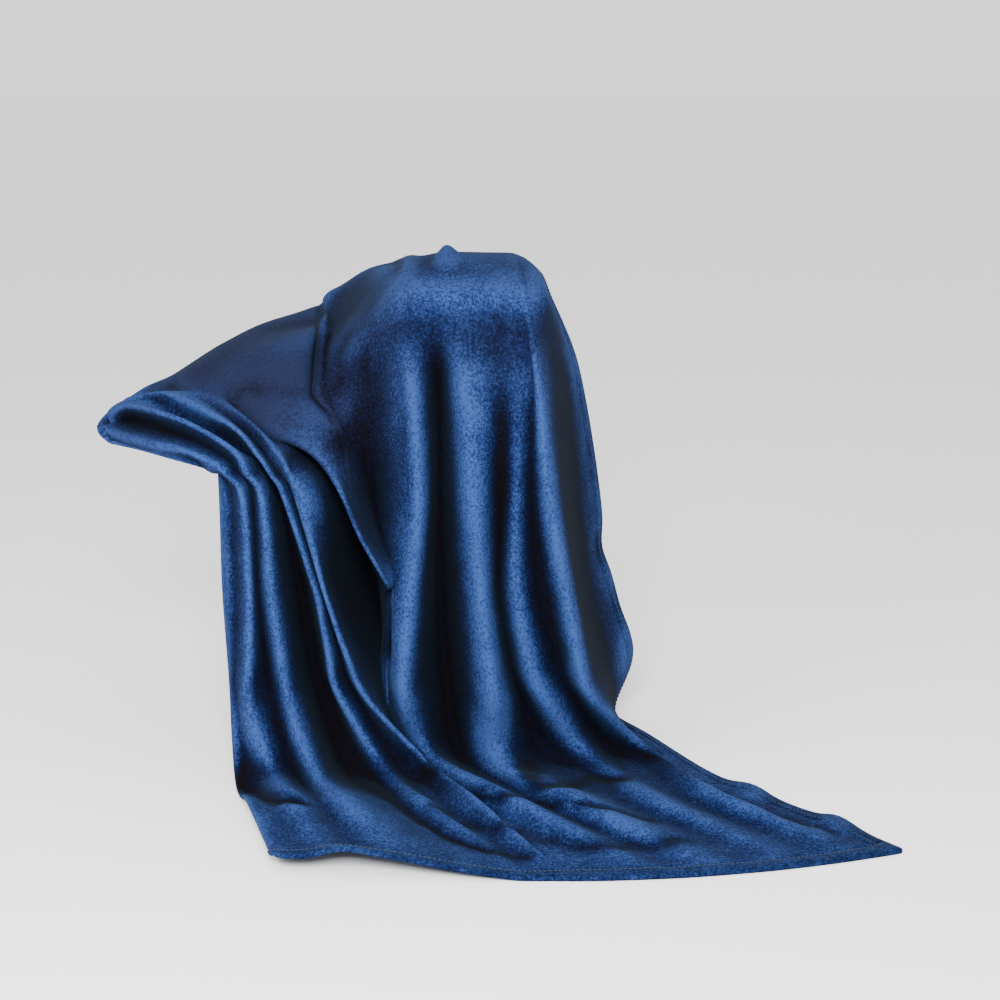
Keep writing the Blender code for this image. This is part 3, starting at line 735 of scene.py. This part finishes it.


# on the floor and at the chest the folds are low, and their painted shading is made weaker there
crest *= 1 - 0.45 * np.clip((3.2 - station_at) / 0.8, 0, 1)
crest *= 1 - 0.75 * np.exp(-(((station_at - 7.6) / 0.5) ** 2)) * (fold_at < 10)
crest = 0.5 + 0.5 * np.tanh(1.7 * crest - 0.04)
# painted light: the cloth on the floor, the rolled edge at the left, the right flank and the arm's front
# are made lighter
crest += 0.16 * np.clip((3.0 - station_at) / 0.8, 0, 1)
crest += 0.22 * patch(22.0, 9.0, 5.0, 1.3)
crest += 0.05 + 0.30 * patch(0.2, 5.4, 0.6, 2.4) + 0.10 * patch(5.0, 8.4, 5.0, 1.0)
# painted shade along the pressed creases
crest -= 70 * finer(pressed)
# painted shadow darkens the deep hollows, the slit, the place under the step at the left and a few
# valleys
for fold, station, across, along, change in (
    (15.9, 5.3, 0.75, 1.1, 0.9),
    (15.9, 3.6, 0.7, 0.9, 0.6),
    (21.6, 5.0, 0.8, 1.3, 0.6),
    (21.6, 3.2, 0.7, 0.9, 0.4),
    (7.0, 5.4, 0.45, 1.6, 0.30),
    (1.25, 5.6, 0.40, 1.6, 0.8),
    (12.9, 8.7, 0.55, 1.2, 0.9),
    (12.3, 8.9, 0.45, 1.3, 0.4),
    (4.4, 6.3, 1.1, 1.2, 0.16),
    (24.0, 8.7, 0.5, 0.8, 0.45),
):
    crest -= change * patch(fold, station, across, along)
crest = np.clip(crest, 0.0, 1.0)
# painted shade, dull and slaty with a dull painted sheen, on the arm's inner side, over the seat and
# round the arm's outer side
painted_dull_shade = np.zeros_like(crest)
for fold, station, across, along, share in (
    (16.4, 10.4, 2.9, 2.6, 1.0),
    (15.4, 8.4, 2.6, 1.6, 1.0),
    (12.6, 7.2, 2.2, 1.3, 0.85),
    (4.5, 9.6, 6.5, 1.2, 0.45),
    (10.4, 8.8, 2.2, 2.0, 0.5),
    (4.0, 7.35, 3.5, 0.45, 0.25),
    (24.5, 9.2, 2.8, 1.2, 0.45),
):
    painted_dull_shade = np.maximum(painted_dull_shade, share * patch(fold, station, across, along))
for name, values in (("crest", crest), ("painted_dull_shade", painted_dull_shade)):
    mark = sheet.data.attributes.new(name, "FLOAT", "POINT")
    mark.data.foreach_set("value", values[row, column].astype(np.float32))
    print(name, "has a mean of", round(float(values.mean()), 2))

# %% [markdown]
# ## Finishes
# Flannel fleece is a knit with a short dense pile. It is dark where one looks into the pile and
# lighter where the pile leans over, so its colour is mottled at a scale of a few millimetres.

# %% Mix the plush
SHEEN_TINT = (0.35, 0.60, 1.0)
TUFTS, BRUSHED, CLUMPS = 0.9, 0.9, 0.35  # how much each noise counts
NOISE_MIDDLE = 1.075  # what the three add on average
# the ramp turns mottling and painted fold shading into colour: its dark deep end is painted shade in the
# valleys, its bright end painted highlight on crests
RAMP = ((0.28, (0.085, 0.058, 0.072)), (0.55, (0.175, 0.155, 0.205)), (0.80, (0.46, 0.46, 0.52)))
# the colours of the dull painted shade
DULL_SHADE_RAMP = ((0.05, (0.0024, 0.0021, 0.0046)), (0.85, (0.0092, 0.0118, 0.0310)))


def noise(material, scale, detail):
    texture = material.node_tree.nodes.new("ShaderNodeTexNoise")
    texture.inputs["Scale"].default_value = scale
    texture.inputs["Detail"].default_value = detail
    return texture


def plush(name, deep, bright, sheen):
    material = bpy.data.materials.new(name)
    material.use_nodes = True
    nodes = material.node_tree.nodes
    links = material.node_tree.links
    shader = nodes["Principled BSDF"]
    shader.inputs["Roughness"].default_value = 0.9
    shader.inputs["Specular IOR Level"].default_value = 0.02
    shader.inputs["Sheen Weight"].default_value = sheen
    shader.inputs["Sheen Roughness"].default_value = 0.4
    shader.inputs["Sheen Tint"].default_value = (*SHEEN_TINT, 1.0)
    place = nodes.new("ShaderNodeTexCoord")
    tufts = noise(material, 700, 2)
    brushed = noise(material, 260, 3)
    clumps = noise(material, 28, 3)
    for texture in (tufts, brushed, clumps):
        links.new(place.outputs["Object"], texture.inputs["Vector"])
    # painted shade and painted highlight of the folds, read from the attribute, are added to the mottling
    painted_fold_shading_node = nodes.new("ShaderNodeAttribute")
    painted_fold_shading_node.attribute_name = "crest"
    shade = nodes.new("ShaderNodeMapRange")
    shade.inputs["From Min"].default_value = NOISE_MIDDLE + 0.02
    shade.inputs["From Max"].default_value = NOISE_MIDDLE + 1.02
    total = painted_fold_shading_node.outputs["Fac"]
    for texture, amount in ((tufts, TUFTS), (brushed, BRUSHED), (clumps, CLUMPS)):
        add = nodes.new("ShaderNodeMath")
        add.operation = "MULTIPLY_ADD"
        add.inputs[1].default_value = amount
        links.new(texture.outputs["Fac"], add.inputs[0])
        links.new(total, add.inputs[2])
        total = add.outputs["Value"]
    links.new(total, shade.inputs["Value"])
    ramp = nodes.new("ShaderNodeValToRGB")
    ramp.color_ramp.elements[0].position = 0.0
    ramp.color_ramp.elements[0].color = (*deep, 1)
    ramp.color_ramp.elements[1].position = 1.0
    ramp.color_ramp.elements[1].color = (*bright, 1)
    for position, tint in RAMP:
        middle = ramp.color_ramp.elements.new(position)
        middle.color = (*(share * part for share, part in zip(tint, bright)), 1)
    links.new(shade.outputs["Result"], ramp.inputs["Fac"])
    # painted shade, dull and slaty, mixed in where its attribute says
    painted_dull_shade_node = nodes.new("ShaderNodeAttribute")
    painted_dull_shade_node.attribute_name = "painted_dull_shade"
    dull = nodes.new("ShaderNodeMix")
    dull.data_type = "RGBA"
    dull_shade_ramp = nodes.new("ShaderNodeValToRGB")
    for element, (position, tint) in zip(dull_shade_ramp.color_ramp.elements, DULL_SHADE_RAMP):
        element.position = position
        element.color = (*tint, 1)
    links.new(shade.outputs["Result"], dull_shade_ramp.inputs["Fac"])
    links.new(painted_dull_shade_node.outputs["Fac"], dull.inputs["Factor"])
    links.new(ramp.outputs["Color"], dull.inputs["A"])
    links.new(dull_shade_ramp.outputs["Color"], dull.inputs["B"])
    links.new(dull.outputs["Result"], shader.inputs["Base Color"])
    bump = nodes.new("ShaderNodeBump")
    bump.inputs["Strength"].default_value = 0.9
    bump.inputs["Distance"].default_value = 0.001
    links.new(tufts.outputs["Fac"], bump.inputs["Height"])
    links.new(bump.outputs["Normal"], shader.inputs["Normal"])
    return material


navy_plush = plush("navy_plush", (0.0026, 0.0020, 0.0026), (0.0225, 0.0500, 0.1600), 0.024)
hem_plush = plush("navy_hem_plush", (0.0026, 0.0020, 0.0026), (0.0175, 0.0400, 0.1280), 0.035)
print("two plush finishes are mixed")

# %% [markdown]
# ## Cut the hems from the sheet and give each its thickness
# The hems are cut from the same sheet, so they follow its folds exactly. A hem is the cloth turned
# over on itself, so it is thicker than the panel.

# %% Cut and thicken
EDGE_CUT = 4  # a hem is two squares wide, and each was divided once
HEM_SOLID = HEM_DEPTH - 0.001
HEM_RIM = 0.62  # how much of its thickness a hem keeps at its rim
FLOOR_GAP = 0.0004
uv = sheet.data.uv_layers.active.data
side = np.empty(len(sheet.data.polygons))
foot = np.empty(len(sheet.data.polygons))
for face in sheet.data.polygons:
    marks = [uv[loop].uv for loop in face.loop_indices]
    side[face.index] = (1 - sum(mark[0] for mark in marks) / len(marks)) * across_now
    foot[face.index] = sum(mark[1] for mark in marks) / len(marks) * rows_now
part_of = np.zeros(len(side), int)
part_of[side < EDGE_CUT] = 1
part_of[side > across_now - EDGE_CUT] = 2
part_of[foot < EDGE_CUT] = 3
part_of[foot > rows_now - EDGE_CUT] = 4
print("squares in the panel and in each hem:", [int((part_of == k).sum()) for k in range(5)])


def cut(piece, marks, number, name):
    only(piece)
    bpy.ops.object.duplicate()
    made = bpy.context.object
    made.name = name
    made.data.name = name
    bpy.ops.object.mode_set(mode="EDIT")
    bpy.ops.mesh.select_all(action="DESELECT")
    bpy.ops.object.mode_set(mode="OBJECT")
    made.data.polygons.foreach_set("select", marks != number)
    bpy.ops.object.mode_set(mode="EDIT")
    bpy.ops.mesh.select_mode(type="FACE")
    bpy.ops.mesh.delete(type="FACE")
    bpy.ops.object.mode_set(mode="OBJECT")
    return made


def thicken(piece, thickness, thin_edge=1.0):
    only(piece)
    group = piece.vertex_groups.new(name="full")
    edge = set()
    lone = {}
    for face in piece.data.polygons:
        for key in face.edge_keys:
            lone[key] = lone.get(key, 0) + 1
    for key, faces in lone.items():
        if faces == 1:
            edge.update(key)
    for vertex in piece.data.vertices:
        group.add([vertex.index], thin_edge if vertex.index in edge else 1.0, "REPLACE")
    bpy.ops.object.modifier_add(type="SOLIDIFY")
    solid = piece.modifiers[-1]
    solid.thickness = thickness
    solid.offset = 0
    solid.vertex_group = "full"
    bpy.ops.object.modifier_apply(modifier=solid.name)
    bpy.ops.object.shade_smooth()
    points = np.empty(len(piece.data.vertices) * 3, np.float32)
    piece.data.vertices.foreach_get("co", points)
    points[2::3] = np.maximum(points[2::3], FLOOR_GAP)
    piece.data.vertices.foreach_set("co", points)
    piece.data.update()


HEMS = ((1, "side_hem_right"), (2, "side_hem_left"), (3, "foot_hem"), (4, "head_hem"))
hems = [cut(sheet, part_of, number, name + "_plush") for number, name in HEMS]
panel = cut(sheet, part_of, 0, "fleece_panel_plush_cut")
bpy.data.objects.remove(sheet, do_unlink=True)
panel.name = "fleece_panel_plush"
thicken(panel, PLUSH)
panel.data.materials.append(navy_plush)
for hem in hems:
    thicken(hem, HEM_SOLID, HEM_RIM)
    hem.data.materials.append(hem_plush)
for piece in (panel, *hems):
    print(piece.name, "has", len(piece.data.polygons), "faces")

# %% [markdown]
# ## Sew the hems
# A row of stitches holds each hem down, about six millimetres inside its inner edge. One stitch is
# modelled. It is then repeated along a curve that lies on the hem, and bent with it.

# %% Sew a row of stitches on each hem
THREAD = 0.0006  # half the thickness of the thread
STITCH = 0.0056  # from one stitch to the next
STITCH_HALF = 0.42  # half a stitch's length, as a share of that
STITCH_SIDES, STITCH_RINGS = 6, 4


def plain(name, colour, roughness):
    material = bpy.data.materials.new(name)
    material.use_nodes = True
    shader = material.node_tree.nodes["Principled BSDF"]
    shader.inputs["Base Color"].default_value = (*colour, 1)
    shader.inputs["Roughness"].default_value = roughness
    return material


def sew(name, path):
    curve = bpy.data.curves.new(name + "_path", "CURVE")
    curve.dimensions = "3D"
    spline = curve.splines.new("POLY")
    spline.points.add(len(path) - 1)
    for point, place in zip(spline.points, path):
        point.co = (*place, 1.0)
    guide = bpy.data.objects.new(name + "_path", curve)
    scene.collection.objects.link(guide)
    bpy.ops.object.select_all(action="DESELECT")
    bpy.ops.mesh.primitive_uv_sphere_add(segments=STITCH_SIDES, ring_count=STITCH_RINGS, radius=THREAD)
    stitch = bpy.context.object
    stitch.name = name
    only(stitch)
    bpy.ops.transform.resize(value=(STITCH_HALF * STITCH / THREAD, 1.0, 1.0))
    bpy.ops.object.transform_apply(location=False, rotation=False, scale=True)
    bpy.ops.object.shade_smooth()
    bpy.ops.object.modifier_add(type="ARRAY")
    row_of = stitch.modifiers[-1]
    row_of.fit_type = "FIT_CURVE"
    row_of.curve = guide
    row_of.use_relative_offset = False
    row_of.use_constant_offset = True
    row_of.constant_offset_displace = (STITCH, 0.0, 0.0)
    bpy.ops.object.modifier_add(type="CURVE")
    follow = stitch.modifiers[-1]
    follow.object = guide
    follow.deform_axis = "POS_X"
    bpy.ops.object.modifier_apply(modifier=row_of.name)
    bpy.ops.object.modifier_apply(modifier=follow.name)
    bpy.data.objects.remove(guide, do_unlink=True)
    return stitch


cotton = plain("stitch_cotton", (0.006, 0.016, 0.050), 0.7)
lifted = ordered + facing * (HEM_DEPTH / 2 - 0.0002)
lifted[..., 2] = np.maximum(lifted[..., 2], 0.001)
PATHS = {
    "side_hem_right": lifted[EDGE_CUT:-EDGE_CUT, EDGE_CUT - 1],
    "side_hem_left": lifted[EDGE_CUT:-EDGE_CUT, -EDGE_CUT],
    "foot_hem": lifted[EDGE_CUT - 1, 1:-1],
    "head_hem": lifted[-EDGE_CUT, 1:-1],
}
seams = []
for name, path in PATHS.items():
    row_of_stitches = sew(name + "_thread", path)
    row_of_stitches.data.materials.append(cotton)
    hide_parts(name + "_stitching")
    seams.append(row_of_stitches)
    count = len(row_of_stitches.data.polygons) // (STITCH_SIDES * STITCH_RINGS)
    print(row_of_stitches.name, "has", count, "stitches")

# %% [markdown]
# ## The blank label
# A small satin tab is sewn to the back of the throw, beside its right hem. It carries no words here.
# It is a strip of small squares that follows the cloth, set just behind it.

# %% Set the label on the back of the cloth
TAB_LONG, TAB_WIDE = 8, 3  # squares along and across the tab
TAB_THICKNESS = 0.001
TAB_GAP = 0.0012
CLEAR_ROWS, CLEAR_COLUMNS = 8, 12  # the tab's middle stays this far inside the sheet
tab = [np.array(corner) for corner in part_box("care_label")]
gap = np.linalg.norm(ordered - (tab[0] + tab[1]) / 2, axis=2)
inside = gap[CLEAR_ROWS:-CLEAR_ROWS, CLEAR_COLUMNS:-CLEAR_COLUMNS]
middle_row, middle_column = np.unravel_index(inside.argmin(), inside.shape)
middle_row, middle_column = middle_row + CLEAR_ROWS, middle_column + CLEAR_COLUMNS
bpy.ops.object.select_all(action="DESELECT")
bpy.ops.mesh.primitive_grid_add(x_subdivisions=TAB_LONG, y_subdivisions=TAB_WIDE, size=1.0)
label = bpy.context.object
label.name = "blank_satin_label"
for vertex in label.data.vertices:
    step = int(round((vertex.co.x + 0.5) * TAB_LONG)) - TAB_LONG // 2
    rise = int(round((vertex.co.y + 0.5) * TAB_WIDE)) - TAB_WIDE // 2
    here = (middle_row + rise, middle_column + step)
    vertex.co = ordered[here] - facing[here] * (PLUSH / 2 + TAB_GAP)
only(label)
bpy.ops.object.modifier_add(type="SOLIDIFY")
label.modifiers[-1].thickness = TAB_THICKNESS
label.modifiers[-1].offset = 0
bpy.ops.object.modifier_apply(modifier=label.modifiers[-1].name)
label.data.materials.append(plain("white_satin", (0.60, 0.60, 0.58), 0.35))
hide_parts("care_label")
off = round(float(gap[middle_row, middle_column]) * 1000, 1)
print("the label lies", off, "mm from its place in the model")

# %% [markdown]
# ## Say what stands for what
# Every piece moves with the one body and takes the place of its plain part.

for piece in (panel, label, *hems, *seams):
    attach(piece, "root")
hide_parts("fleece_panel")
for hem, (_, name) in zip(hems, HEMS):
    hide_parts(name)
print(2 + len(hems) + len(seams), "pieces are declared")

# %% [markdown]
# ## The floor and the light
# A plain pale floor and soft studio light: one broad light in front, above the camera, and a weaker
# one from the left.

# %% Make the floor and the lights
bpy.ops.object.select_all(action="DESELECT")
bpy.ops.mesh.primitive_plane_add(size=80, location=(0, 30, 0))
floor = bpy.context.object
floor.name = "studio_floor"
paper = bpy.data.materials.new("studio_paper")
paper.use_nodes = True
paper.node_tree.nodes["Principled BSDF"].inputs["Base Color"].default_value = (0.94, 0.94, 0.94, 1)
paper.node_tree.nodes["Principled BSDF"].inputs["Roughness"].default_value = 0.9
floor.data.materials.append(paper)

world = bpy.data.worlds.new("studio")
world.use_nodes = True
world.node_tree.nodes["Background"].inputs["Color"].default_value = (1, 1, 1, 1)
world.node_tree.nodes["Background"].inputs["Strength"].default_value = 1.45
scene.world = world


def softbox(name, spot, aim, size, power):
    bpy.ops.object.light_add(type="AREA", location=spot)
    light = bpy.context.object
    light.name = name
    light.data.size = size
    light.data.energy = power
    way = Vector(aim) - Vector(spot)
    light.rotation_euler = way.to_track_quat("-Z", "Y").to_euler()


softbox("front_light", (-0.1, -2.8, 1.6), (0.0, 0.0, 0.3), 0.9, 208)
softbox("left_light", (-1.8, -1.8, 1.6), (0.0, 0.0, 0.3), 1.0, 40)
print("floor, world and two lights are set")
